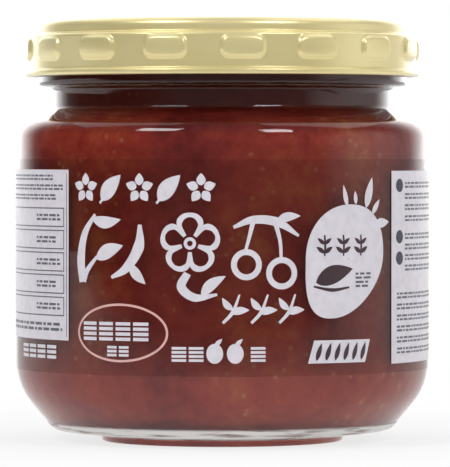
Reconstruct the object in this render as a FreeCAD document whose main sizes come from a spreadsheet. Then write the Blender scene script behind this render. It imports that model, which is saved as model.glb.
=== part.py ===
"""A small jam jar: a clear glass jar with a rounded heel and a short neck, a twist-off metal lid,
a clear wrap label round the straight wall, and the jam inside.

Millimetres. The jar stands on z = 0 with its axis on Z, and its front faces -Y.
"""

import FreeCAD
import Part
import Sketcher
import os

PARTS = "parts"
SHEET = "Sizes"
CLOSE = 1e-4

SIZES = {
    # glass: outside
    "body_radius": (34.4, "outside radius of the straight wall"),
    "heel_height": (9.3, "height at which the slope of the heel meets the wall"),
    "heel_set_in": (6.2, "how far inside the wall the slope of the heel meets the foot"),
    "heel_upper_round": (10.5, "rounding between wall and heel"),
    "heel_lower_round": (8.0, "rounding between heel and foot"),
    "foot_width": (7.8, "width from the heel's slope to the inner edge of the standing ring"),
    "foot_slope": (1.6, "width of the slope from the foot up to the hollow base"),
    "push_up": (1.2, "depth of the hollow under the base"),
    "wall_height": (43.3, "height of the straight wall from heel to shoulder"),
    "shoulder_rise": (2.9, "rise of the shoulder from the wall to the neck"),
    "shoulder_round": (3.2, "rounding between wall and shoulder"),
    "neck_radius": (28.4, "outside radius of the neck"),
    "neck_length": (3.4, "length of the neck from the shoulder to the bead"),
    "neck_round": (1.0, "rounding between shoulder and neck"),
    # glass: the finish that the lid closes on
    "bead_stand": (2.4, "how far the bead under the lid stands out of the neck"),
    "bead_height": (3.4, "height of the bead"),
    "bead_slope": (0.4, "height of the slopes under and over the bead"),
    "bead_round": (0.7, "rounding of the bead"),
    "finish_stand": (1.1, "how far the finish over the bead stands out of the neck"),
    "rim_round": (1.0, "rounding of the rim"),
    # glass: walls
    "wall": (2.4, "thickness of the straight wall"),
    "heel_wall": (3.4, "thickness of the heel, measured level"),
    "floor": (2.2, "thickness of the base"),
    "shoulder_wall": (1.6, "drop from the outside of the shoulder to its inside"),
    "neck_wall": (2.5, "thickness of the neck"),
    "inner_heel_round": (9.0, "rounding inside between wall and heel"),
    "inner_floor_round": (5.0, "rounding inside between heel and base"),
    "inner_shoulder_round": (2.6, "rounding inside between wall and shoulder"),
    "inner_neck_round": (2.0, "rounding inside between shoulder and neck"),
    # lid
    "bead_bared": (1.8, "height of the bead that shows under the lid"),
    "lid_height": (9.4, "height of the lid"),
    "sheet_metal": (0.24, "thickness of the lid's sheet, lacquer included"),
    "lid_gap": (1.36, "clearance between the bead and the inside of the skirt"),
    "crown_set_in": (1.1, "how far inside the skirt the crown stands"),
    "crown_height": (2.2, "height of the crown over its ledge"),
    "crown_round": (1.3, "rounding of the lid's top edge"),
    "ledge_slope": (0.3, "fall of the ledge between crown and skirt"),
    "ledge_round": (0.45, "rounding where the ledge turns down into the skirt"),
    "panel_gap": (0.1, "clearance between the glass's bore and the sunk middle of the lid"),
    "panel_sink": (0.5, "how far the middle of the lid is sunk"),
    "panel_slope": (1.0, "width of the slope into the sunk middle"),
    "curl_stand": (0.75, "how far the rolled edge stands out of the skirt"),
    "curl_width": (1.35, "width of the rolled edge"),
    "curl_height": (1.25, "height of the rolled edge"),
    "curl_round": (0.55, "rounding of the rolled edge"),
    # grips on the skirt
    "grip_count": (16, "grips round the skirt"),
    "grip_angle": (12.4, "degrees that one grip takes"),
    "lid_turn": (6.0, "degrees that the lid is turned on the jar"),
    "grip_depth": (0.55, "how far a grip stands out of the skirt at its fullest"),
    "grip_top_depth": (0.3, "how far a grip stands out of the skirt at its top"),
    "grip_foot_depth": (0.4, "how far a grip stands out of the skirt at its foot"),
    "grip_height": (3.8, "height of a grip"),
    "grip_drop": (0.15, "drop from the edge of the ledge to a grip"),
    "grip_belly": (2.1, "height of a grip's fullest line over its foot"),
    "grip_round": (0.22, "rounding of a grip"),
    # label
    "film": (0.10, "thickness of the label's film"),
    "glue": (0.03, "thickness of the glue under the film"),
    "bare_under_label": (2.9, "height of wall left bare under the label"),
    "bare_over_label": (5.5, "height of wall left bare over the label"),
    "film_wrap": (352.0, "degrees that the label goes round"),
    # jam
    "fill_in_lid": (1.1, "how far the jam reaches up inside the lid"),
    "fill_gap": (0.05, "clearance between the jam and the glass"),
}


class Size:
    """A number worked out from the sheet: its value, and the expression that says the same."""

    def __init__(self, value, text):
        self.value = value
        self.text = text

    def joined(self, sign, other, result):
        text = other.text if isinstance(other, Size) else repr(other)
        return Size(result, f"({self.text} {sign} {text})")

    def __add__(self, other):
        return self.joined("+", other, self.value + number(other))

    def __sub__(self, other):
        return self.joined("-", other, self.value - number(other))

    def __mul__(self, other):
        return self.joined("*", other, self.value * number(other))

    def __truediv__(self, other):
        return self.joined("/", other, self.value / number(other))


def number(size):
    return size.value if isinstance(size, Size) else size


ZERO = Size(0.0, "0")


def make_sheet(doc):
    """The driving dimensions, each in a cell with a name of its own."""
    sheet = doc.addObject("Spreadsheet::Sheet", SHEET)
    for row, (name, (value, note)) in enumerate(SIZES.items(), 1):
        sheet.set(f"A{row}", name)
        sheet.set(f"B{row}", str(value))
        sheet.setAlias(f"B{row}", name)
        sheet.set(f"C{row}", note)
    doc.recompute()
    return {name: Size(float(sheet.get(name)), f"{SHEET}.{name}") for name in SIZES}


def work_out(s):
    """Radii and levels that several pieces share, each from the sheet's own sizes."""
    s["heel_radius"] = s["body_radius"] - s["heel_set_in"]
    s["bore_radius"] = s["neck_radius"] - s["neck_wall"]
    s["bead_radius"] = s["neck_radius"] + s["bead_stand"]
    s["shoulder_level"] = s["heel_height"] + s["wall_height"]
    s["neck_level"] = s["shoulder_level"] + s["shoulder_rise"]
    s["bead_level"] = s["neck_level"] + s["neck_length"]
    s["lid_level"] = s["bead_level"] + s["bead_bared"]
    s["lid_top"] = s["lid_level"] + s["lid_height"]
    s["ledge_level"] = s["lid_top"] - s["crown_height"]
    s["skirt_radius"] = s["bead_radius"] + s["lid_gap"] + s["sheet_metal"]
    s["skirt_top"] = s["ledge_level"] - s["ledge_slope"]
    return s


def plane_of(body, role):
    return next(f for f in body.Origin.OriginFeatures if f.Role == role)


def bind(sketch, geometry, end, distance, size):
    """Holds one coordinate of a sketch point at a size, or on the axis where the size is nothing."""
    if abs(size.value) < CLOSE:
        axis = -2 if distance == "DistanceX" else -1
        sketch.addConstraint(Sketcher.Constraint("PointOnObject", geometry, end, axis))
        return
    held = Sketcher.Constraint(distance, -1, 1, geometry, end, size.value)
    index = sketch.addConstraint(held)
    sketch.setExpression(f"Constraints[{index}]", size.text)


def draw_section(body, name, corners):
    """A closed outline of straight lines in the X-Z plane. Each corner is (radius, height)."""
    sketch = body.newObject("Sketcher::SketchObject", name)
    sketch.AttachmentSupport = (plane_of(body, "XZ_Plane"), [""])
    sketch.MapMode = "FlatFace"
    points = [FreeCAD.Vector(r.value, z.value, 0) for r, z in corners]
    for start, finish in zip(points, points[1:] + points[:1]):
        sketch.addGeometry(Part.LineSegment(start, finish), False)
    for i, (r, z) in enumerate(corners):
        before = (i - 1) % len(corners)
        sketch.addConstraint(Sketcher.Constraint("Coincident", before, 2, i, 1))
        bind(sketch, i, 1, "DistanceX", r)
        bind(sketch, i, 1, "DistanceY", z)
    return sketch


def turn(body, kind, name, sketch, angle=None):
    """Turns a section round the body's axis, all the way or through an angle that the sheet holds."""
    feature = body.newObject(f"PartDesign::{kind}", name)
    feature.Profile = sketch
    feature.ReferenceAxis = (sketch, ["V_Axis"])
    feature.Angle = 360 if angle is None else angle.value
    if angle is not None:
        feature.Midplane = True
        feature.setExpression("Angle", angle.text)
    sketch.Visibility = False
    body.Document.recompute()
    return feature


def ring_edges(shape, corner):
    """Names of the round edges that a corner of a section makes when it is turned."""
    radius, height = (size.value for size in corner)
    found = []
    for i, edge in enumerate(shape.Edges, 1):
        curve = edge.Curve
        if isinstance(curve, Part.Circle) and abs(curve.Radius - radius) < CLOSE:
            if abs(curve.Center.z - height) < CLOSE and abs(abs(curve.Axis.z) - 1) < CLOSE:
                found.append(f"Edge{i}")
    return found


def round_corner(body, name, corner, radius):
    """Rounds the edge that one corner of the section makes."""
    base = body.Tip
    names = ring_edges(base.Shape, corner)
    if not names:
        raise RuntimeError(f"{name}: no edge at radius {corner[0].value}, height {corner[1].value}")
    fillet = body.newObject("PartDesign::Fillet", name)
    fillet.Base = (base, names)
    fillet.Radius = radius.value
    fillet.setExpression("Radius", radius.text)
    body.Document.recompute()
    return fillet


def glass_inside(s, gap):
    """Corners of the jar's inside from the axis at the base up to the neck, drawn in by gap."""
    wall_radius = s["body_radius"] - s["wall"] - gap
    heel_level = s["heel_height"] + s["heel_wall"] - s["wall"]
    base_level = s["push_up"] + s["floor"] + gap
    heel_slope = s["heel_set_in"] / s["heel_height"]
    foot_radius = wall_radius - heel_slope * (heel_level - base_level)
    return {
        "base": (ZERO, base_level),
        "foot": (foot_radius, base_level),
        "heel": (wall_radius, heel_level),
        "shoulder": (wall_radius, s["shoulder_level"] - s["shoulder_wall"] - gap),
        "neck": (s["bore_radius"] - gap, s["neck_level"] - s["shoulder_wall"]),
    }


def round_inside(body, s, corners):
    """The roundings that the jar's inside and the jam share."""
    round_corner(body, "FloorRound", corners["foot"], s["inner_floor_round"])
    round_corner(body, "HeelInsideRound", corners["heel"], s["inner_heel_round"])
    round_corner(body, "ShoulderInsideRound", corners["shoulder"], s["inner_shoulder_round"])
    round_corner(body, "NeckInsideRound", corners["neck"], s["inner_neck_round"])


def make_glass(doc, s):
    """The glass: foot, heel, straight wall, shoulder, neck, bead and rim, with the cavity inside."""
    body = doc.addObject("PartDesign::Body", "Glass")
    body.Label = "glass_jar"
    foot_inside = s["heel_radius"] - s["foot_width"]
    bead_top = s["bead_level"] + s["bead_height"]
    finish_radius = s["neck_radius"] + s["finish_stand"]
    rim_level = s["lid_top"] - s["sheet_metal"]
    inside = glass_inside(s, ZERO)
    outside = {
        "hollow": (foot_inside - s["foot_slope"], s["push_up"]),
        "foot_in": (foot_inside, ZERO),
        "foot_out": (s["heel_radius"], ZERO),
        "heel": (s["body_radius"], s["heel_height"]),
        "shoulder": (s["body_radius"], s["shoulder_level"]),
        "neck": (s["neck_radius"], s["neck_level"]),
        "under_bead": (s["neck_radius"], s["bead_level"]),
        "bead_low": (s["bead_radius"], s["bead_level"] + s["bead_slope"]),
        "bead_high": (s["bead_radius"], bead_top - s["bead_slope"]),
        "over_bead": (finish_radius, bead_top),
        "rim_out": (finish_radius, rim_level),
        "rim_in": (s["bore_radius"], rim_level),
    }
    cavity = [inside[k] for k in ("neck", "shoulder", "heel", "foot", "base")]
    section = [(ZERO, s["push_up"]), *outside.values(), *cavity]
    turn(body, "Revolution", "GlassTurned", draw_section(body, "GlassSection", section))
    round_corner(body, "HeelUpperRound", outside["heel"], s["heel_upper_round"])
    round_corner(body, "HeelLowerRound", outside["foot_out"], s["heel_lower_round"])
    round_corner(body, "ShoulderRound", outside["shoulder"], s["shoulder_round"])
    round_corner(body, "NeckRound", outside["neck"], s["neck_round"])
    round_corner(body, "BeadLowRound", outside["bead_low"], s["bead_round"])
    round_corner(body, "BeadHighRound", outside["bead_high"], s["bead_round"])
    round_corner(body, "RimOutRound", outside["rim_out"], s["rim_round"])
    round_corner(body, "RimInRound", outside["rim_in"], s["rim_round"])
    round_inside(body, s, inside)
    return body


def make_jam(doc, s):
    """The jam: the shape of the cavity up to its level, clear of the glass by the gap."""
    body = doc.addObject("PartDesign::Body", "Jam")
    body.Label = "jam"
    inside = glass_inside(s, s["fill_gap"])
    fill_level = s["lid_level"] + s["fill_in_lid"]
    section = [*inside.values(), (inside["neck"][0], fill_level), (ZERO, fill_level)]
    turn(body, "Revolution", "JamTurned", draw_section(body, "JamSection", section))
    round_inside(body, s, inside)
    return body


def make_lid(doc, s):
    """The lid: a pressed shell with a sunk middle, a crown, a ledge, a skirt and a rolled edge."""
    body = doc.addObject("PartDesign::Body", "Lid")
    body.Label = "lid"
    metal = s["sheet_metal"]
    top = s["lid_top"]
    sunk = top - s["panel_sink"]
    panel_edge = s["bore_radius"] - s["panel_gap"]
    panel_radius = panel_edge - s["panel_slope"]
    crown_radius = s["skirt_radius"] - s["crown_set_in"]
    curl_radius = s["skirt_radius"] + s["curl_stand"]
    curl_inside = curl_radius - s["curl_width"]
    curl_top = s["lid_level"] + s["curl_height"]
    crown = (crown_radius, top)
    crown_inside = (crown_radius - metal, top - metal)
    ledge_out = (s["skirt_radius"], s["skirt_top"])
    curl = {
        "TopOut": (curl_radius, curl_top),
        "FootOut": (curl_radius, s["lid_level"]),
        "FootIn": (curl_inside, s["lid_level"]),
    }
    outer = [
        (ZERO, sunk),
        (panel_radius, sunk),
        (panel_edge, top),
        crown,
        (crown_radius, s["ledge_level"]),
        ledge_out,
        (s["skirt_radius"], curl_top),
    ]
    inner = [
        (curl_inside, curl_top - metal),
        (s["skirt_radius"] - metal, curl_top),
        (s["skirt_radius"] - metal, s["skirt_top"] - metal),
        (crown_radius - metal, s["ledge_level"] - metal),
        crown_inside,
        (panel_edge, top - metal),
        (panel_radius, sunk - metal),
        (ZERO, sunk - metal),
    ]
    section = [*outer, *curl.values(), *inner]
    turn(body, "Revolution", "LidTurned", draw_section(body, "LidSection", section))
    round_corner(body, "CrownRound", crown, s["crown_round"])
    round_corner(body, "CrownInsideRound", crown_inside, s["crown_round"] - metal)
    round_corner(body, "LedgeRound", ledge_out, s["ledge_round"])
    for name, corner in curl.items():
        round_corner(body, f"Curl{name}Round", corner, s["curl_round"])
    add_grips(body, s)
    turned = FreeCAD.Rotation(FreeCAD.Vector(0, 0, 1), s["lid_turn"].value)
    body.Placement = FreeCAD.Placement(FreeCAD.Vector(), turned)
    body.setExpression("Placement.Rotation.Angle", s["lid_turn"].text)
    return body


def add_grips(body, s):
    """Raised grips round the top of the skirt, one turned through its angle and the rest patterned."""
    high = s["skirt_top"] - s["grip_drop"]
    low = high - s["grip_height"]
    belly = (s["skirt_radius"] + s["grip_depth"], low + s["grip_belly"])
    face = [
        (s["skirt_radius"] + s["grip_top_depth"], high),
        belly,
        (s["skirt_radius"] + s["grip_foot_depth"], low),
    ]
    buried = s["skirt_radius"] - s["sheet_metal"] / 2
    sketch = draw_section(body, "GripSection", [(buried, high), *face, (buried, low)])
    grip = turn(body, "Revolution", "Grip", sketch, s["grip_angle"])
    pattern = body.newObject("PartDesign::PolarPattern", "GripPattern")
    pattern.Originals = [grip]
    pattern.Axis = (sketch, ["V_Axis"])
    pattern.Angle = 360
    pattern.Occurrences = int(s["grip_count"].value)
    pattern.setExpression("Occurrences", s["grip_count"].text)
    body.Tip = pattern
    body.Document.recompute()
    rings = ring_edges(pattern.Shape, face[0]) + ring_edges(pattern.Shape, face[-1])
    sides = side_edges(pattern.Shape, s["skirt_radius"].value, low.value, high.value)
    fillet = body.newObject("PartDesign::Fillet", "GripRound")
    fillet.Base = (pattern, rings + sides)
    fillet.Radius = s["grip_round"].value
    fillet.setExpression("Radius", s["grip_round"].text)
    body.Document.recompute()


def side_edges(shape, radius, low, high):
    """Names of the straight edges that stand outside a radius and between two heights."""
    found = []
    for i, edge in enumerate(shape.Edges, 1):
        ends = [v.Point for v in edge.Vertexes]
        if len(ends) == 2 and isinstance(edge.Curve, Part.Line):
            outside = all(FreeCAD.Vector(p.x, p.y, 0).Length > radius + CLOSE for p in ends)
            between = all(low - CLOSE < p.z < high + CLOSE for p in ends)
            if outside and between and abs(ends[0].z - ends[1].z) > CLOSE:
                found.append(f"Edge{i}")
    return found


def make_label(doc, s):
    """The label: a film that goes most of the way round the straight wall and is open at the back."""
    body = doc.addObject("PartDesign::Body", "Label")
    body.Label = "label"
    inner = s["body_radius"] + s["glue"]
    outer = inner + s["film"]
    low = s["heel_height"] + s["bare_under_label"]
    high = s["shoulder_level"] - s["bare_over_label"]
    corners = [(inner, low), (outer, low), (outer, high), (inner, high)]
    sketch = draw_section(body, "LabelSection", corners)
    turn(body, "Revolution", "LabelWrap", sketch, s["film_wrap"])
    seam_to_back = FreeCAD.Rotation(FreeCAD.Vector(0, 0, 1), -90.0)
    body.Placement = FreeCAD.Placement(FreeCAD.Vector(), seam_to_back)
    return body


def check(doc, bodies):
    """Stops if a feature failed or a sub-part isn't one valid closed solid."""
    failed = [o.Name for o in doc.Objects if {"Invalid", "Error"} & set(o.State)]
    if failed:
        raise RuntimeError(f"failed: {failed}")
    for body in bodies:
        shape = body.Shape
        if shape.isNull() or not shape.isValid() or len(shape.Solids) != 1:
            raise RuntimeError(f"{body.Label} is not one valid solid")


def main():
    doc = FreeCAD.newDocument("JamJar")
    sizes = work_out(make_sheet(doc))
    bodies = [make(doc, sizes) for make in (make_glass, make_jam, make_lid, make_label)]
    doc.recompute()
    check(doc, bodies)
    os.makedirs(PARTS, exist_ok=True)
    for body in bodies:
        body.Shape.exportStep(os.path.join(PARTS, f"{body.Label}.step"))
        print(f"{body.Label}: {body.Shape.Volume:.1f} mm3, {body.Shape.BoundBox}")


main()
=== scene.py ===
"""The jam jar's looks: clear glass, dark jam, a gold lacquered lid and a film with white print.

Metres, in the CAD frame: +Z up the jar's axis, the label's front towards -Y. Outlines and the
label's layout are in millimetres and are turned into metres with MM. Angles round the jar are
measured from the front, positive towards +X.
"""

import bmesh
import bpy
import math
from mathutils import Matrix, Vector


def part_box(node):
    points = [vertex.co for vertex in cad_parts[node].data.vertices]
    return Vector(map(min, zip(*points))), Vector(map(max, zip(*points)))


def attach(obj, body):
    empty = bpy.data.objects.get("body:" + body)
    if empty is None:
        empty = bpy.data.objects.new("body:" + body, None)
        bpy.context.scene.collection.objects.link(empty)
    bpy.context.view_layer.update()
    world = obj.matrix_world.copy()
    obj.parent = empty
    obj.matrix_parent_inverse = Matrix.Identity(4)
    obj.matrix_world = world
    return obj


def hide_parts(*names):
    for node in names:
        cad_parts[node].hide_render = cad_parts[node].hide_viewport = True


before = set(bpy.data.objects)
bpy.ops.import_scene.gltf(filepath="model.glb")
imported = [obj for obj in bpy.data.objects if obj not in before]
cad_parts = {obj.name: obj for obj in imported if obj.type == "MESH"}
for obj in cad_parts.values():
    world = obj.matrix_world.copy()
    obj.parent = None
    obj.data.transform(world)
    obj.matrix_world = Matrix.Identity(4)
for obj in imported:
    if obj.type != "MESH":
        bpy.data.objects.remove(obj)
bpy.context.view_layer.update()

MM = 0.001


# ------------------------------------------------------------------ sizes in mm


def corners_mm(node):
    """The lowest and highest corner of a node's box in the frame, in millimetres."""
    low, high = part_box(node)
    return Vector(low) / MM, Vector(high) / MM


_, GLASS_HIGH = corners_mm("glass_jar")
LID_LOW, LID_HIGH = corners_mm("lid")
LABEL_LOW, LABEL_HIGH = corners_mm("label")
JAM_LOW, JAM_HIGH = corners_mm("jam")

WALL_R = GLASS_HIGH.x
FILM_R = LABEL_HIGH.x
JAM_R = JAM_HIGH.x
INTO_WALL = 0.12  # how far the jam runs into the glass, so that no air shows between them

# The foot: a hollow base, a low standing ring, a nearly flat slope, and the heel up to the wall.
BASE_Z = 1.2
FOOT_R = 20.2
FOOT_WIDTH = 1.4
FOOT_SLOPE = 1.2
FOOT_Z = 1.0
HEEL_FOOT_R = 28.3
HEEL_FOOT_Z = 2.0
HEEL_Z = 9.3
HEEL_SET_IN = 6.2
HEEL_INSIDE_UP = 1.0  # how much higher the heel meets the wall inside than outside
THICK_BASE = 1.0  # how much thicker the base is than the frame's

SHOULDER_Z = LABEL_HIGH.z + 5.5
SHOULDER_WALL = 1.6
NECK_Z = SHOULDER_Z + 2.9
NECK_R = WALL_R - 6.0
BORE_R = NECK_R - 2.5
BEAD_Z = NECK_Z + 3.4
BEAD_R = NECK_R + 2.4
BEAD_HEIGHT = 3.4
BEAD_SLOPE = 0.4
FINISH_R = NECK_R + 1.1

SHEET = 0.24
SKIRT_R = LID_HIGH.x - 0.75
SKIRT_TOP = LID_HIGH.z - 2.5
CROWN_R = SKIRT_R - 1.1
SINK = 0.5  # how far the lid's middle is sunk
CURL_UP = 0.15  # how much higher the rolled edge's foot is than the frame's
CURL_IN = 0.2  # how much smaller the rolled edge's radius is than the frame's
CURL_WIDTH = 1.2
CURL_HEIGHT = 0.9
CURL_ROUND = 0.42


# ------------------------------------------------------------------ outlines and meshes

AROUND = 288  # steps round the jar
ON_AXIS = 1e-6


def rounded(corners, steps=7):
    """Points of an outline whose corners (radius, height, rounding) are turned by arcs."""
    points = []
    for i, (r, z, rounding) in enumerate(corners):
        here = Vector((r, z))
        if rounding == 0:
            points.append(here)
            continue
        before = (Vector(corners[i - 1][:2]) - here).normalized()
        after = (Vector(corners[(i + 1) % len(corners)][:2]) - here).normalized()
        half = before.angle(after) / 2
        reach = rounding / math.tan(half)
        middle = here + (before + after).normalized() * (rounding / math.sin(half))
        start = here + before * reach - middle
        end = here + after * reach - middle
        sweep = start.angle_signed(end)
        for k in range(steps + 1):
            turn = -sweep * k / steps
            c, s = math.cos(turn), math.sin(turn)
            points.append(middle + Vector((start.x * c - start.y * s, start.x * s + start.y * c)))
    return points


def on_jar(radius, angle, z):
    """A point in metres, from a radius and height in millimetres and an angle in radians."""
    return Vector((radius * math.sin(angle), -radius * math.cos(angle), z)) * MM


def finish_piece(name, mesh, material, node=None, smooth_under=40):
    """Puts a mesh in the scene as a piece that rides on the jar, and may stand for a CAD node."""
    piece = bpy.data.objects.new(name, mesh)
    bpy.context.scene.collection.objects.link(piece)
    mesh.materials.append(material)
    mesh.polygons.foreach_set("use_smooth", [True] * len(mesh.polygons))
    if smooth_under:
        mesh.set_sharp_from_angle(angle=math.radians(smooth_under))
    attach(piece, "root")
    if node:
        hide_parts(node)


def lathe(name, outline, angles=None, offset=None):
    """Turns an open outline round the axis. offset(radius, z, angle) adds to the radius, in mm."""
    angles = angles or [2 * math.pi * k / AROUND for k in range(AROUND)]
    bm = bmesh.new()
    rings = []
    for r, z in outline:
        if r < ON_AXIS:
            rings.append([bm.verts.new(on_jar(0, 0, z))])
            continue
        rings.append(
            [bm.verts.new(on_jar(r + (offset(r, z, a) if offset else 0), a, z)) for a in angles]
        )
    for low, high in zip(rings, rings[1:]):
        for k in range(len(angles)):
            n = (k + 1) % len(angles)
            ring = [low[k % len(low)], low[n % len(low)], high[n % len(high)], high[k % len(high)]]
            face = list(dict.fromkeys(ring))
            if len(face) > 2:
                bm.faces.new(face)
    bmesh.ops.recalc_face_normals(bm, faces=bm.faces)
    mesh = bpy.data.meshes.new(name)
    bm.to_mesh(mesh)
    bm.free()
    return mesh


# ------------------------------------------------------------------ material helpers


def node_adder(tree):
    """A function that adds a node to the tree, its inputs linked to sockets or set to values."""

    def add(kind, inputs=None, **settings):
        node = tree.nodes.new(kind)
        for key, value in settings.items():
            setattr(node, key, value)
        for key, value in (inputs or {}).items():
            if isinstance(value, bpy.types.NodeSocket):
                tree.links.new(value, node.inputs[key])
            else:
                node.inputs[key].default_value = value
        return node

    return add


def new_material(name):
    """A node material, its Principled shader and a function that adds nodes to it."""
    material = bpy.data.materials.new(name)
    material.use_nodes = True
    tree = material.node_tree
    return material, tree.nodes["Principled BSDF"], node_adder(tree)


def link(material, output, target):
    material.node_tree.links.new(output, target)


def bump_surface(material, shader, add, height, strength, distance):
    """Bumps a surface by a height socket."""
    bump = add("ShaderNodeBump", {"Height": height, "Strength": strength, "Distance": distance})
    link(material, bump.outputs["Normal"], shader.inputs["Normal"])


def spread(add, value, start, end, low, high, smooth=False):
    """A value's range from start to end, spread from low to high."""
    sockets = {"Value": value, "From Min": start, "From Max": end, "To Min": low, "To Max": high}
    settings = {"interpolation_type": "SMOOTHSTEP"} if smooth else {}
    return add("ShaderNodeMapRange", sockets, **settings).outputs["Result"]


def calculate(add, operation, first, second):
    return add("ShaderNodeMath", {0: first, 1: second}, operation=operation).outputs[0]


def srgb(red, green, blue):
    """A colour given as 0 to 255, as the linear values that a shader takes."""

    def linear(value):
        c = value / 255
        return c / 12.92 if c <= 0.04045 else ((c + 0.055) / 1.055) ** 2.4

    return (linear(red), linear(green), linear(blue), 1.0)


def ramp(add, factor, stops):
    """A colour ramp with its stops given as (position, colour)."""
    node = add("ShaderNodeValToRGB", {"Fac": factor})
    elements = node.color_ramp.elements
    while len(elements) < len(stops):
        elements.new(0.5)
    for element, (position, colour) in zip(elements, stops):
        element.position = position
        element.color = colour
    return node.outputs["Color"]


def blend_colours(add, factor, first, second):
    """Two colours, each a socket or a plain colour, mixed by a factor."""
    node = add("ShaderNodeMix", {"Factor": factor}, data_type="RGBA")
    tree = node.id_data
    for place, colour in ((6, first), (7, second)):
        if isinstance(colour, bpy.types.NodeSocket):
            tree.links.new(colour, node.inputs[place])
        else:
            node.inputs[place].default_value = colour
    return node.outputs[2]


# ------------------------------------------------------------------ glass


def glass_material():
    """Clear moulded glass with the faint waviness that a mould leaves."""
    material, shader, add = new_material("clear_glass")
    shader.inputs["Base Color"].default_value = (0.985, 0.995, 0.99, 1)
    shader.inputs["Transmission Weight"].default_value = 1.0
    shader.inputs["IOR"].default_value = 1.52
    shader.inputs["Roughness"].default_value = 0.0
    place = add("ShaderNodeTexCoord").outputs["Object"]
    waves = add("ShaderNodeTexNoise", {"Vector": place, "Scale": 90.0, "Detail": 1.0})
    bump_surface(material, shader, add, waves.outputs["Fac"], 0.03, 0.6 * MM)
    return material


def glass_outline():
    """The glass from its base at the axis, out, up to the rim, and back down its inside."""
    foot_inside = FOOT_R - FOOT_WIDTH
    bead_top = BEAD_Z + BEAD_HEIGHT
    rim = LID_HIGH.z - SHEET
    outside = [
        (0, BASE_Z, 0),
        (foot_inside - FOOT_SLOPE, BASE_Z, 0.8),
        (foot_inside, 0, 0.4),
        (FOOT_R, 0, 0.35),
        (FOOT_R + 0.05, FOOT_Z, 0.3),
        (HEEL_FOOT_R, HEEL_FOOT_Z, 2.6),
        (WALL_R, HEEL_Z, 10.5),
        (WALL_R, SHOULDER_Z, 3.2),
        (NECK_R, NECK_Z, 1.0),
        (NECK_R, BEAD_Z, 0.5),
        (BEAD_R, BEAD_Z + BEAD_SLOPE, 0.7),
        (BEAD_R, bead_top - BEAD_SLOPE, 0.7),
        (FINISH_R, bead_top, 0.3),
        (FINISH_R, rim, 1.0),
        (BORE_R, rim, 1.0),
    ]
    return rounded(outside + inside_corners(0)[::-1])


def inside_corners(into_wall):
    """The cavity's corners from the base up to the neck, moved into the glass by into_wall."""
    radius = JAM_R + into_wall
    heel = HEEL_Z + HEEL_INSIDE_UP
    base = JAM_LOW.z + THICK_BASE - into_wall
    foot = radius - HEEL_SET_IN / HEEL_Z * (heel - base)
    return [
        (0, base, 0),
        (foot, base, 5.0),
        (radius, heel, 9.0),
        (radius, SHOULDER_Z - SHOULDER_WALL + into_wall, 2.6),
        (BORE_R + into_wall, NECK_Z - SHOULDER_WALL, 2.0),
    ]


def make_glass():
    mesh = lathe("jar_glass", glass_outline())
    finish_piece("jar_glass", mesh, glass_material(), "glass_jar")


STIPPLE_PROUD = 0.03
STIPPLE_UP_HEEL = 0.24  # share of the heel's slope that the band covers
STIPPLE_FADES = (2.9, 3.5)  # heights between which the band fades out


def stipple_material():
    """The knurled band under the heel: frosted glass in fine streaks that run round the jar."""
    material, shader, add = new_material("stippled_glass")
    shader.inputs["Base Color"].default_value = (0.93, 0.93, 0.90, 1)
    shader.inputs["Roughness"].default_value = 0.30
    shader.inputs["IOR"].default_value = 2.2
    place = add("ShaderNodeTexCoord").outputs["Object"]
    flat = add("ShaderNodeMapping", {"Vector": place, "Scale": (1.0, 1.0, 14.0)}).outputs["Vector"]
    streaks = add("ShaderNodeTexNoise", {"Vector": flat, "Scale": 130.0, "Detail": 3.0})
    frost = spread(add, streaks.outputs["Fac"], 0.34, 0.50, 0.25, 0.92)
    height = add("ShaderNodeSeparateXYZ", {0: place}).outputs["Z"]
    low, high = STIPPLE_FADES
    lower = spread(add, height, low * MM, high * MM, 1.0, 0.0, smooth=True)
    link(material, calculate(add, "MULTIPLY", frost, lower), shader.inputs["Alpha"])
    grit = add("ShaderNodeTexNoise", {"Vector": place, "Scale": 1500.0})
    bump_surface(material, shader, add, grit.outputs["Fac"], 0.3, 0.3 * MM)
    return material


def make_stipple():
    """A skin just proud of the glass, from the standing ring out and up the foot of the heel."""
    heel_foot = Vector((HEEL_FOOT_R, HEEL_FOOT_Z))
    up = Vector((WALL_R, HEEL_Z)) - heel_foot
    out = Vector((up.y, -up.x)).normalized()
    top = heel_foot + up * STIPPLE_UP_HEEL + out * STIPPLE_PROUD
    corners = [
        (FOOT_R + 0.5, FOOT_Z + 0.06 - STIPPLE_PROUD, 0),
        (HEEL_FOOT_R + 0.02, HEEL_FOOT_Z - 0.035, 2.6),
        (top.x, top.y, 0),
    ]
    outline = rounded(corners, 10)
    mesh = lathe("foot_stipple", outline)
    for polygon in mesh.polygons:
        if polygon.normal.z > 0:
            polygon.flip()
    finish_piece("foot_stipple", mesh, stipple_material())


# ------------------------------------------------------------------ jam

JAM_LID_SHADE = (NECK_Z - 4.5, NECK_Z - 0.5)  # heights between which painted shade under the lid makes the jam darker and browner


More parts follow.
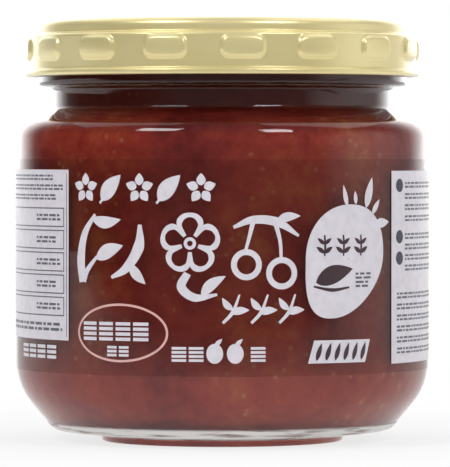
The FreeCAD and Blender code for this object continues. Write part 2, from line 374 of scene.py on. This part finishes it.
def jam_material():
    """Cooked fruit: red-brown, mottled in patches and finer pulp, with seeds; painted shade under
    the lid makes the top darker and browner.

    The colours are lighter than they look in the jar, because light is lost inside the glass.
    """
    material, shader, add = new_material("dark_jam")
    place = add("ShaderNodeTexCoord").outputs["Object"]
    tall = add("ShaderNodeMapping", {"Vector": place, "Scale": (1.0, 1.0, 0.6)}).outputs["Vector"]
    coarse = {"Vector": tall, "Scale": 75.0, "Detail": 2.0, "Roughness": 0.5}
    patches = add("ShaderNodeTexNoise", coarse).outputs["Fac"]
    fine = {"Vector": place, "Scale": 420.0, "Detail": 4.0, "Roughness": 0.65}
    pulp = add("ShaderNodeTexNoise", fine).outputs["Fac"]
    blend = add("ShaderNodeMix", {"Factor": 0.38, "A": patches, "B": pulp})
    mass = ramp(
        add,
        blend.outputs["Result"],
        [
            (0.34, srgb(134, 35, 32)),
            (0.46, srgb(166, 56, 46)),
            (0.56, srgb(182, 70, 52)),
            (0.68, srgb(196, 102, 62)),
        ],
    )
    cells = add("ShaderNodeTexVoronoi", {"Vector": place, "Scale": 430.0, "Randomness": 1.0})
    spots = spread(add, cells.outputs["Distance"], 0.10, 0.24, 0.45, 0.0)
    in_pale_patch = calculate(add, "GREATER_THAN", patches, 0.52)
    seeds = calculate(add, "MULTIPLY", spots, in_pale_patch)
    seeded = blend_colours(add, seeds, mass, srgb(204, 140, 92))
    height = add("ShaderNodeSeparateXYZ", {0: place}).outputs["Z"]
    low, high = JAM_LID_SHADE
    # Painted shade: towards the top the jam is mixed with a dark brown, standing in for the shade
    # under the lid.
    lid_shade = spread(add, height, low * MM, high * MM, 0.0, 0.72)
    colour = blend_colours(add, lid_shade, seeded, srgb(76, 30, 22))
    link(material, colour, shader.inputs["Base Color"])
    shader.inputs["Roughness"].default_value = 0.45
    shader.inputs["IOR"].default_value = 1.52
    shader.inputs["Specular IOR Level"].default_value = 0.0
    return material


def make_jam():
    corners = inside_corners(INTO_WALL)
    top = JAM_HIGH.z
    corners += [(BORE_R + INTO_WALL, top, 0), (0, top, 0)]
    mesh = lathe("jam_fill", rounded(corners))
    finish_piece("jam_fill", mesh, jam_material(), "jam")


# ------------------------------------------------------------------ lid

GRIPS = 16
GRIP_PITCH = 2 * math.pi / GRIPS
GRIP_HALF = math.radians(6.2)
LID_TURN = math.radians(6.0)
GRIP_DEPTH = 0.58
GRIP_FOOT = SKIRT_TOP - 4.0
GRIP_HEAD = SKIRT_TOP - 0.5
GRIP_CORNER = 1.35
GRIP_SOFT = 0.75  # width over which a grip rises from the skirt
GRIP_FALL = 4.6  # height over which a grip swells and falls back


def lid_angles():
    """Angles round the lid, close together at the sides of each grip."""
    soft = GRIP_SOFT / SKIRT_R
    edge = [GRIP_HALF + soft * (k / 6 - 0.75) for k in range(9)]
    half = [0.0, GRIP_HALF * 0.25, GRIP_HALF * 0.5, GRIP_HALF * 0.72, *edge]
    half += [edge[-1] + (GRIP_PITCH / 2 - edge[-1]) * k / 4 for k in range(1, 4)]
    one = [-GRIP_PITCH / 2] + [-a for a in reversed(half[1:])] + half
    return [LID_TURN + GRIP_PITCH * g + a for g in range(GRIPS) for a in one]


def grip_height(radius, z, angle):
    """How far the pressed grips stand out of the skirt at a place on the lid."""
    off_skirt = abs(radius - SKIRT_R) > 0.3 or z > SKIRT_TOP + 0.1
    if off_skirt:
        return 0.0
    across = abs((angle - LID_TURN + GRIP_PITCH / 2) % GRIP_PITCH - GRIP_PITCH / 2) * SKIRT_R
    dx = across - (GRIP_HALF * SKIRT_R - GRIP_CORNER)
    dz = abs(z - (GRIP_FOOT + GRIP_HEAD) / 2) - ((GRIP_HEAD - GRIP_FOOT) / 2 - GRIP_CORNER)
    outside = math.hypot(max(dx, 0), max(dz, 0)) + min(max(dx, dz), 0) - GRIP_CORNER
    t = min(max(0.5 - outside / GRIP_SOFT, 0), 1)
    step = t * t * (3 - 2 * t)
    down = min(max((SKIRT_TOP - z) / GRIP_FALL, 0), 1)
    belly = 0.55 + 0.45 * math.sin(math.pi * down)
    return GRIP_DEPTH * step * belly


def lid_outline():
    """The lid from the middle of its top, out, down to the rolled edge, and back up its inside."""
    top = LID_HIGH.z
    foot = LID_LOW.z + CURL_UP
    curl_top = foot + CURL_HEIGHT
    skirt_foot = curl_top + 0.25
    curl_out = LID_HIGH.x - CURL_IN
    curl_in = curl_out - CURL_WIDTH
    skirt_in = SKIRT_R - SHEET
    crown_in = CROWN_R - SHEET
    upper = [
        (0, top - SINK, 0),
        (BORE_R - 1.1, top - SINK, 0.6),
        (BORE_R - 0.1, top, 0.6),
        (CROWN_R, top, 1.3),
        (CROWN_R - 0.05, SKIRT_TOP + 0.35, 0.3),
        (SKIRT_R, SKIRT_TOP, 0.5),
        (SKIRT_R, skirt_foot, 0),
    ]
    lower = [
        (SKIRT_R, skirt_foot, 0.25),
        (curl_out, curl_top, CURL_ROUND),
        (curl_out, foot, CURL_ROUND),
        (curl_in, foot, CURL_ROUND),
        (curl_in, curl_top, 0.2),
        (skirt_in, curl_top + 0.2, 0),
        (skirt_in, SKIRT_TOP - SHEET, 0),
        (crown_in, SKIRT_TOP, 0),
        (crown_in, top - SHEET, 1.0),
        (0, top - SINK - SHEET, 0),
    ]
    above = rounded(upper, 8)[:-1]
    steps = 34  # rows of faces down the skirt, fine enough for the grips
    start = above[-1].y
    end = skirt_foot + 0.3
    skirt = [Vector((SKIRT_R, start + (end - start) * k / steps)) for k in range(1, steps + 1)]
    below = rounded([(SKIRT_R, end, 0), *lower], 6)[1:]
    return above + skirt + below


def lacquer_material():
    """Tinplate under a clear gold lacquer, faintly grained by rolling and a little uneven."""
    material, shader, add = new_material("gold_lacquer")
    place = add("ShaderNodeTexCoord").outputs["Object"]
    tint = add("ShaderNodeTexNoise", {"Vector": place, "Scale": 60.0, "Detail": 4.0})
    golds = [(0.35, (0.83, 0.71, 0.34, 1)), (0.65, (0.90, 0.79, 0.42, 1))]
    link(material, ramp(add, tint.outputs["Fac"], golds), shader.inputs["Base Color"])
    shader.inputs["Metallic"].default_value = 0.45
    shader.inputs["Roughness"].default_value = 0.32
    shader.inputs["Coat Weight"].default_value = 0.5
    shader.inputs["Coat Roughness"].default_value = 0.16
    grain_place = add("ShaderNodeMapping", {"Vector": place, "Scale": (4.0, 400.0, 30.0)})
    grain = add("ShaderNodeTexNoise", {"Vector": grain_place.outputs["Vector"], "Scale": 12.0})
    bump_surface(material, shader, add, grain.outputs["Fac"], 0.05, 0.2 * MM)
    return material


def make_lid():
    mesh = lathe("lid_shell", lid_outline(), lid_angles(), grip_height)
    finish_piece("lid_shell", mesh, lacquer_material(), "lid", smooth_under=50)


# ------------------------------------------------------------------ label film

SEAM_HALF = math.radians(4.0)
FILM_EDGE = 0.6  # width of the rows of faces along the film's edges
FILM_STEPS = 180


def film_material():
    """Clear glossy film: it shows as gloss and as a slight darkening of the jam behind it."""
    material, shader, _ = new_material("clear_film")
    shader.inputs["Base Color"].default_value = srgb(38, 14, 12)
    shader.inputs["Alpha"].default_value = 0.20
    shader.inputs["Roughness"].default_value = 0.12
    shader.inputs["IOR"].default_value = 1.5
    return material


def make_film():
    """One thin sheet round the wall, open at the seam behind."""
    low, high = LABEL_LOW.z, LABEL_HIGH.z
    reach = math.pi - SEAM_HALF
    span = [-reach + 2 * reach * k / FILM_STEPS for k in range(FILM_STEPS + 1)]
    bm = bmesh.new()
    rows = []
    for z in (low, low + FILM_EDGE, (low + high) / 2, high - FILM_EDGE, high):
        rows.append([bm.verts.new(on_jar(FILM_R, a, z)) for a in span])
    for low_row, high_row in zip(rows, rows[1:]):
        for k in range(FILM_STEPS):
            bm.faces.new((low_row[k], low_row[k + 1], high_row[k + 1], high_row[k]))
    mesh = bpy.data.meshes.new("label_film")
    bm.to_mesh(mesh)
    bm.free()
    finish_piece("label_film", mesh, film_material(), "label", smooth_under=0)


# ------------------------------------------------------------------ label print
#
# The layout is flat: u runs round the label from the front centre, positive towards +X, and v is
# the height, both in millimetres. Each shape is a fine grid that is then wrapped on the film. The
# print is ornaments, bars and dashes in the places of the lettering, and holds no lettering.

INK_LIFT = 0.03  # how far the ink stands off the film
COLUMN = 0.8  # widest step of a bar round the jar


def wrap(u, v, lift):
    return on_jar(FILM_R + lift, u / FILM_R, v)


def oval(u, v, half_u, half_v, count):
    """Points of an oval round (u, v), the first not repeated at the end."""
    turns = [2 * math.pi * k / count for k in range(count)]
    return [(u + half_u * math.cos(t), v + half_v * math.sin(t)) for t in turns]


class Print:
    """Gathers flat shapes in one ink and makes them into one wrapped piece."""

    def __init__(self, lift=INK_LIFT):
        self.bm = bmesh.new()
        self.lift = lift

    def grid(self, rows):
        """Faces between rows of (u, v) points, each row as long as the next."""
        made = [[self.bm.verts.new(wrap(u, v, self.lift)) for u, v in row] for row in rows]
        for a, b in zip(made, made[1:]):
            for k in range(len(a) - 1):
                self.bm.faces.new((a[k], a[k + 1], b[k + 1], b[k]))

    def bar(self, u0, v0, u1, v1):
        """A plain rectangle from its lower left to its upper right corner."""
        count = max(1, round((u1 - u0) / COLUMN))
        us = [u0 + (u1 - u0) * k / count for k in range(count + 1)]
        self.grid([[(u, v0) for u in us], [(u, v1) for u in us]])

    def frame(self, u0, v0, u1, v1, line):
        """A rectangle drawn as four thin lines."""
        self.bar(u0, v0, u1, v0 + line)
        self.bar(u0, v1 - line, u1, v1)
        self.bar(u0, v0 + line, u0 + line, v1 - line)
        self.bar(u1 - line, v0 + line, u1, v1 - line)

    def stroke(self, points, widths, steps=14):
        """A brush stroke along a smooth curve through points, its width changing along it."""
        path = smooth_path(points, steps)
        sides = ([], [])
        for k, here in enumerate(path):
            ahead = path[min(k + 1, len(path) - 1)] - path[max(k - 1, 0)]
            across = Vector((-ahead.y, ahead.x)).normalized()
            half = along(widths, k / (len(path) - 1)) / 2
            sides[0].append(here + across * half)
            sides[1].append(here - across * half)
        self.grid([[tuple(p) for p in side] for side in sides])

    def ring(self, u, v, half_u, half_v, line, count=72):
        """An oval drawn as a line."""
        outer = oval(u, v, half_u, half_v, count)
        inner = oval(u, v, half_u - line, half_v - line, count)
        self.grid([outer + outer[:1], inner + inner[:1]])

    def blob(self, middle, outline, rings=10):
        """A filled shape, given by its outline round a middle point."""
        outline = outline + outline[:1]
        rows = []
        for k in range(rings + 1):
            grow = max(k / rings, 0.01)
            rows.append([tuple(Vector(middle).lerp(Vector(p), grow)) for p in outline])
        self.grid(rows)

    def leaf(self, foot, tip, width, bend=0.0, count=12):
        """A filled leaf from its foot to its tip, bent to one side."""
        foot, tip = Vector(foot), Vector(tip)
        along_leaf = tip - foot
        side = Vector((-along_leaf.y, along_leaf.x)).normalized()
        rows = ([], [])
        for k in range(count + 1):
            t = k / count
            spine = foot + along_leaf * t + side * bend * math.sin(math.pi * t)
            half = width / 2 * math.sin(math.pi * t**0.8) ** 0.9
            rows[0].append(tuple(spine + side * half))
            rows[1].append(tuple(spine - side * half))
        self.grid(rows)

    def bars(self, u0, v0, u1, v1, rows):
        """A block of plain level bars."""
        pitch = (v1 - v0) / rows
        for k in range(rows):
            self.bar(u0, v1 - pitch * (k + 0.85), u1, v1 - pitch * (k + 0.2))

    def fine_print(self, u0, v0, u1, v1, rows, size=1.0, ragged=0.0):
        """Small print shown as rows of short dashes, two lines of them to a row."""
        pitch = (v1 - v0) / rows
        for row in range(rows):
            end = u1 - (u1 - u0) * ragged * ((row * 7 + 3) % 5) / 5
            for line in range(2):
                v = v1 - pitch * row - size * (0.25 + 0.5 * line)
                u, dash = u0, row * 3 + line * 2
                while u < end - 0.3:
                    long = size * (0.45 + 0.3 * (dash * 5 % 4))
                    self.bar(u, v - 0.13 * size, min(u + long, end), v + 0.13 * size)
                    u += long + 0.28 * size
                    dash += 1

    def piece(self, name, material):
        """Makes the gathered shapes into a piece whose faces look outwards."""
        bmesh.ops.recalc_face_normals(self.bm, faces=self.bm.faces)
        for face in self.bm.faces:
            middle = face.calc_center_median()
            if face.normal.dot(Vector((middle.x, middle.y, 0))) < 0:
                face.normal_flip()
        mesh = bpy.data.meshes.new(name)
        self.bm.to_mesh(mesh)
        self.bm.free()
        finish_piece(name, mesh, material, smooth_under=0)


def along(values, t):
    """A value part of the way along a list of evenly spaced values."""
    place = t * (len(values) - 1)
    k = min(int(place), len(values) - 2)
    return values[k] + (values[k + 1] - values[k]) * (place - k)


def smooth_path(points, steps):
    """A Catmull-Rom curve through the points."""
    p = [Vector(q) for q in points]
    p = [p[0] * 2 - p[1], *p, p[-1] * 2 - p[-2]]
    path = []
    for a, b, c, d in zip(p, p[1:], p[2:], p[3:]):
        square = a * 2 - b * 5 + c * 4 - d
        cube = b * 3 - a - c * 3 + d
        for k in range(steps):
            t = k / steps
            path.append((b * 2 + (c - a) * t + square * t**2 + cube * t**3) / 2)
    path.append(p[-2])
    return path


def ink_material(name, colour):
    """Printing ink on film, very slightly uneven in density."""
    material, shader, add = new_material(name)
    place = add("ShaderNodeTexCoord").outputs["Object"]
    noise = add("ShaderNodeTexNoise", {"Vector": place, "Scale": 700.0, "Detail": 2.0})
    darker = tuple(c * 0.92 for c in colour[:3]) + (1,)
    mixed = ramp(add, noise.outputs["Fac"], [(0.35, darker), (0.6, colour)])
    link(material, mixed, shader.inputs["Base Color"])
    shader.inputs["Roughness"].default_value = 0.35
    return material


# Each panel is (left, low, right, high).
LEFT_PANEL = (-70.0, 17.6, -27.9, 45.4)
RIGHT_PANEL = (32.0, 13.7, 86.0, 45.2)


def print_sprig(ink):
    """Left motif: a stem that rises and bends over, with leaves."""
    ink.stroke([(-24.6, 27.2), (-25.0, 31.0), (-24.2, 35.0), (-22.0, 38.2)], [1.5, 1.7, 1.3, 0.5])
    ink.stroke([(-24.6, 27.4), (-23.6, 29.2), (-21.6, 31.4)], [1.4, 0.9, 0.5])
    ink.leaf((-21.8, 31.0), (-16.6, 33.2), 2.4, 0.3)
    ink.leaf((-22.6, 37.4), (-17.0, 37.4), 2.0, -0.5)
    ink.stroke([(-18.8, 28.0), (-16.0, 29.6), (-13.8, 33.0), (-13.6, 36.6)], [0.5, 1.5, 1.9, 0.6])
    ink.leaf((-15.4, 30.2), (-12.6, 27.0), 1.7, -0.2)


def print_blossom(ink):
    """Middle motif: an open five-petalled flower on a curved stalk."""
    middle = Vector((-5.2, 33.6))
    for k in range(5):
        turn = math.radians(90 + 72 * k)
        petal = []
        for s in range(9):
            t = s / 8
            swing = math.radians(34) * math.sin(math.pi * (t * 2 - 1) * 0.5)
            reach = 1.4 + 3.2 * math.sin(math.pi * t) ** 0.6
            way = turn + swing
            petal.append(middle + Vector((math.cos(way), math.sin(way))) * reach)
        ink.stroke([tuple(p) for p in petal], [0.5, 1.0, 0.7, 1.0, 0.5], 5)
    ink.ring(middle.x, middle.y, 1.0, 1.0, 0.55, 24)
    ink.stroke([(-5.6, 28.8), (-6.6, 26.6), (-4.4, 24.9), (-0.8, 25.4)], [1.2, 1.5, 1.3, 0.4])
    ink.leaf((-3.4, 25.2), (0.6, 28.4), 1.8, 0.4)


def print_berries(ink):
    """Right motif: a bough with a leaf and two round berries under it."""
    ink.stroke([(1.8, 36.2), (5.0, 37.4), (9.0, 37.0), (12.6, 34.8)], [0.5, 1.3, 1.5, 0.4])
    ink.leaf((8.8, 37.2), (12.9, 38.0), 1.5, 0.3)
    ink.stroke([(5.0, 37.2), (4.4, 34.8), (3.8, 32.6)], [0.8, 0.6, 0.5])
    ink.stroke([(8.6, 37.0), (9.4, 34.0), (9.6, 31.2)], [0.8, 0.6, 0.5])
    ink.ring(3.9, 30.2, 2.5, 2.5, 0.95, 40)
    ink.ring(9.7, 28.8, 2.6, 2.6, 0.95, 40)


def print_band(ink):
    """The band over the motifs: flowers and leaves in turn."""
    for k in range(5):
        u = -24.0 + 5.15 * k
        if k % 2:
            ink.leaf((u - 1.9, 40.4), (u + 1.8, 44.6), 2.7, 0.2)
            ink.stroke([(u - 2.2, 40.0), (u - 1.2, 41.2)], [0.4, 0.4])
        else:
            for petal in range(5):
                turn = math.radians(90 + 72 * petal)
                way = Vector((math.cos(turn), math.sin(turn)))
                here = Vector((u, 42.4))
                ink.leaf(tuple(here + way * 0.5), tuple(here + way * 2.5), 1.5)


def print_small_sprigs(ink):
    """Three small sprigs in a row under the berries."""
    for k in range(3):
        u = 1.9 + 4.6 * k
        ink.stroke([(u - 1.8, 20.8), (u - 0.2, 22.6), (u + 0.9, 25.4)], [0.45, 0.6, 0.3])
        ink.leaf((u - 0.4, 22.4), (u + 2.5, 22.9), 1.25, 0.2)
        ink.leaf((u - 0.2, 22.9), (u - 1.9, 24.9), 1.1, 0.2)


def print_foot_row(ink):
    """The lowest row: blocks of bars, two small round fruits and a slanted block."""
    for u0 in (-24.4, -21.2, -18.0, -14.8):
        ink.bars(u0, 17.7, u0 + 2.7, 21.0, 4)
    for u0 in (-19.6, -17.4):
        ink.bars(u0, 15.2, u0 + 1.8, 17.1, 3)
    for u0 in (-8.2, -5.4, 4.6):
        ink.bars(u0, 14.5, u0 + 2.4, 17.1, 4)
    for u in (-1.2, 2.1):
        ink.blob((u, 15.9), oval(u, 15.9, 1.35, 1.6, 32), 4)
        ink.leaf((u, 17.1), (u + 1.2, 18.3), 0.7)
    foot = [(14.2 + 0.8 * k, 14.2) for k in range(15)]
    ink.grid([foot, [(u + 1.1, 17.9) for u, _ in foot]])
    for u0 in (-43.4, -40.2, -37.0, -33.8):
        ink.bars(u0, 14.4, u0 + 2.7, 16.9, 3)


def print_front(ink):
    """The white print on the front."""
    print_band(ink)
    print_sprig(ink)
    print_blossom(ink)
    print_berries(ink)
    print_small_sprigs(ink)
    print_foot_row(ink)


def strawberry_outline():
    """A rounded heart leaning to the left, wide at the top and narrow at its tip."""
    middle = Vector((21.9, 31.0))
    points = []
    for k in range(72):
        t = 2 * math.pi * k / 72
        up, out = math.sin(t), math.cos(t)
        wide = 7.9 * (1 + 0.10 * up) * math.copysign(abs(out) ** 0.9, out)
        lean = -2.7 * max(-up, 0) ** 1.6 + 0.6 * up
        points.append(tuple(middle + Vector((wide + lean - 0.2, 9.2 * up - 0.4))))
    return middle, points


def print_strawberry(ink):
    """The plain fruit at the right of the front, with five leaves on its top."""
    middle, outline = strawberry_outline()
    ink.blob(tuple(middle), outline)
    for foot, tip, width in (
        ((21.6, 39.4), (20.8, 43.0), 0.9),
        ((23.4, 39.8), (23.2, 42.0), 0.8),
        ((25.6, 39.2), (27.0, 44.2), 1.6),
        ((27.0, 38.2), (28.8, 40.6), 1.0),
        ((27.6, 36.6), (31.2, 36.9), 1.6),
    ):
        ink.leaf(foot, tip, width)


def print_dark(ink, grey):
    """Dark print: leaves on the fruit and on the slanted block, and fine dashes on the fruit."""
    for u in (17.2, 20.8, 24.4):
        ink.stroke([(u, 31.5), (u + 0.1, 33.2), (u, 34.9)], [0.3, 0.4, 0.3], 6)
        for side in (-1, 1):
            ink.leaf((u, 32.0), (u + side * 1.5, 33.0), 0.75)
            ink.leaf((u, 33.4), (u + side * 1.3, 34.4), 0.65)
    ink.leaf((15.6, 27.2), (22.7, 29.4), 3.0, 0.3)
    ink.stroke([(15.2, 26.6), (18.6, 26.0), (22.0, 26.4)], [0.3, 0.6, 0.3], 8)
    grey.fine_print(23.3, 26.2, 26.6, 28.9, 2, 1.3)
    for k in range(6):
        u = 15.7 + 1.75 * k
        ink.leaf((u, 14.6), (u + 1.0, 17.5), 0.85)


def print_left_panel(grey):
    """Dashes over and under a table of five framed rows."""
    left, _, right, top = LEFT_PANEL
    grey.fine_print(left + 3, 39.9, right - 1.4, top - 0.7, 3, 1.15, 0.12)
    table = right - 1.1
    for k in range(5):
        high = 39.2 - 3.63 * k
        grey.frame(left + 3, high - 3.15, table, high, 0.18)
        grey.fine_print(left + 4, high - 2.6, left + 17, high - 0.9, 1, 1.3)
        grey.fine_print(table - 8.2, high - 2.6, table - 1.0 - 0.8 * (k % 2), high - 0.9, 1, 1.35)
    grey.fine_print(left + 3, 18.2, right - 1.6, 20.6, 1, 1.7)
    grey.bar(right - 0.55, 18.2, right - 0.42, top - 0.6)


def print_right_panel(grey, bullets):
    """Three blocks of dashes, with round dots beside the upper two."""
    left, _, right, _ = RIGHT_PANEL
    u = left + 2.4
    for v in (42.8, 34.4, 30.9):
        bullets.blob((u, v), oval(u, v, 1.1, 1.1, 24), 3)
    grey.fine_print(left + 4.2, 36.2, right - 3, 43.5, 4, 1.25, 0.1)
    grey.fine_print(left + 4.2, 28.2, right - 3, 35.1, 4, 1.25, 0.16)
    grey.fine_print(left + 1.6, 14.6, right - 3, 25.4, 6, 1.25, 0.14)


def make_print():
    """All the print. Dark inks lie on the white ones, and so stand twice as far off the film."""
    white = ink_material("white_ink", srgb(222, 217, 225))
    grey = ink_material("grey_ink", srgb(92, 94, 106))
    dark = ink_material("dark_ink", srgb(62, 40, 48))
    blue = ink_material("blue_grey_ink", srgb(44, 50, 66))
    pale_rose = ink_material("rose_white_ink", srgb(226, 178, 172))

    front = Print()
    print_front(front)
    front.piece("front_print", white)

    fruit = Print(INK_LIFT + 0.005)
    print_strawberry(fruit)
    fruit.piece("fruit_print", white)

    ring = Print()
    ring.ring(-17.2, 19.1, 8.45, 4.75, 0.38)
    ring.piece("oval_print", pale_rose)

    panels = Print()
    panels.bar(*LEFT_PANEL)
    panels.bar(*RIGHT_PANEL)
    panels.piece("side_panels", white)

    on_fruit = Print(INK_LIFT * 2)
    small = Print(INK_LIFT * 2)
    bullets = Print(INK_LIFT * 2)
    print_dark(on_fruit, small)
    print_left_panel(small)
    print_right_panel(small, bullets)
    on_fruit.piece("fruit_bars", dark)
    small.piece("small_print", grey)
    bullets.piece("panel_dots", blue)


# ------------------------------------------------------------------ stage

CAMERA_AWAY = 788
CAMERA_HIGH = 48.6
CAMERA_ASIDE = 0.45
CAMERA_DOWN = math.radians(1.018)
LIGHTS_AIM = 40  # height on the axis that the lamps face
EVEN_LIGHT = 0.46  # strength of the world for everything but camera, gloss and glass


def make_camera():
    """Nearly level and far off, a little above the jar's middle, so rings show almost flat."""
    data = bpy.data.cameras.new("camera")
    camera = bpy.data.objects.new("camera", data)
    bpy.context.scene.collection.objects.link(camera)
    data.sensor_fit = "VERTICAL"
    data.sensor_height = 36.0
    data.lens = 362.3
    data.clip_end = 20
    camera.location = (CAMERA_ASIDE * MM, -CAMERA_AWAY * MM, CAMERA_HIGH * MM)
    camera.rotation_euler = (math.pi / 2 - CAMERA_DOWN, 0, 0)
    bpy.context.scene.camera = camera


def soft_box(name, azimuth, elevation, distance, width, height, brightness):
    """A soft box that faces the jar, its azimuth measured from the front towards +X."""
    data = bpy.data.lights.new(name, "AREA")
    data.shape = "RECTANGLE"
    data.size = width
    data.size_y = height
    data.energy = brightness * math.pi * width * height
    light = bpy.data.objects.new(name, data)
    a, e = math.radians(azimuth), math.radians(elevation)
    way = Vector((math.sin(a) * math.cos(e), -math.cos(a) * math.cos(e), math.sin(e)))
    light.location = Vector((0, 0, LIGHTS_AIM * MM)) + way * distance
    light.rotation_euler = way.to_track_quat("Z", "Y").to_euler()
    bpy.context.scene.collection.objects.link(light)


def make_lights():
    """Two large boxes overhead, behind the jar, and two small ones in front, over the camera."""
    soft_box("overhead_left", -124, 62, 0.8, 0.55, 0.55, 0.9)
    soft_box("overhead_right", 112, 61, 0.8, 0.55, 0.55, 1.1)
    soft_box("front_left", -42, 44, 0.9, 0.32, 0.24, 9.5)
    soft_box("front_right", 34, 38, 0.9, 0.24, 0.24, 10.5)


def make_world():
    """White to the camera. Gloss and glass see a room, dim towards the front and the left.

    Gloss also sees bright walls on the right and behind, which whiten the jar's outline.
    """
    world = bpy.data.worlds.new("studio")
    bpy.context.scene.world = world
    world.use_nodes = True
    tree = world.node_tree
    background = tree.nodes["Background"]
    background.inputs["Color"].default_value = (1, 1, 1, 1)

    add = node_adder(tree)
    way = add("ShaderNodeTexCoord").outputs["Generated"]
    x, y, _ = add("ShaderNodeSeparateXYZ", {0: way}).outputs
    front = spread(add, y, 0.30, 0.85, 0.22, 1.0, smooth=True)
    left = spread(add, x, -0.95, -0.4, 0.2, 1.0, smooth=True)
    room = calculate(add, "MULTIPLY", front, left)
    right = spread(add, x, 0.80, 1.0, 0.0, 0.7, smooth=True)
    behind = spread(add, y, 0.60, 0.95, 0.0, 1.8, smooth=True)
    mirrored = calculate(add, "ADD", room, calculate(add, "ADD", right, behind))
    path = add("ShaderNodeLightPath").outputs
    strength = EVEN_LIGHT
    for ray, seen in (
        ("Is Glossy Ray", mirrored),
        ("Is Transmission Ray", room),
        ("Is Camera Ray", 1.0),
    ):
        mix = add("ShaderNodeMix", {"Factor": path[ray], "A": strength, "B": seen})
        strength = mix.outputs["Result"]
    tree.links.new(strength, background.inputs["Strength"])


def make_floor():
    """A plain white table top, which ends in front of the jar and keeps the jar's soft shadow.

    It glows white away from the jar. Gloss and glass see that glow fade towards the front edge.
    """
    mesh = bpy.data.meshes.new("floor")
    side, front, back = 3.0, -0.35, 3.0
    corners = [(-side, front, 0), (side, front, 0), (side, back, 0), (-side, back, 0)]
    mesh.from_pydata(corners, [], [(0, 1, 2, 3)])
    floor = bpy.data.objects.new("floor", mesh)
    bpy.context.scene.collection.objects.link(floor)
    material, shader, add = new_material("white_floor")
    shader.inputs["Base Color"].default_value = (0.9, 0.9, 0.9, 1)
    shader.inputs["Roughness"].default_value = 1.0
    shader.inputs["Specular IOR Level"].default_value = 0.0
    place = add("ShaderNodeTexCoord").outputs["Object"]
    away = add("ShaderNodeVectorMath", {0: place}, operation="LENGTH").outputs["Value"]
    open_floor = spread(add, away, 0.03, 0.13, 0.76, 1.0)
    path = add("ShaderNodeLightPath").outputs
    seen = calculate(add, "MULTIPLY", path["Is Camera Ray"], open_floor)
    mirrored = calculate(add, "MAXIMUM", path["Is Transmission Ray"], path["Is Glossy Ray"])
    share = calculate(add, "MAXIMUM", seen, mirrored)
    depth = add("ShaderNodeSeparateXYZ", {0: place}).outputs["Y"]
    fade = spread(add, depth, -0.33, -0.08, 0.2, 1.0, smooth=True)
    strength = calculate(add, "MAXIMUM", fade, path["Is Camera Ray"])
    glow = add("ShaderNodeEmission", {"Strength": strength}).outputs[0]
    mixed = add("ShaderNodeMixShader", {"Fac": share, 1: shader.outputs[0], 2: glow})
    link(material, mixed.outputs[0], material.node_tree.nodes["Material Output"].inputs["Surface"])
    mesh.materials.append(material)


make_glass()
make_stipple()
make_jam()
make_lid()
make_film()
make_print()
make_camera()
make_world()
make_floor()
make_lights()

bpy.context.scene.view_settings.view_transform = "Standard"

bpy.context.view_layer.update()
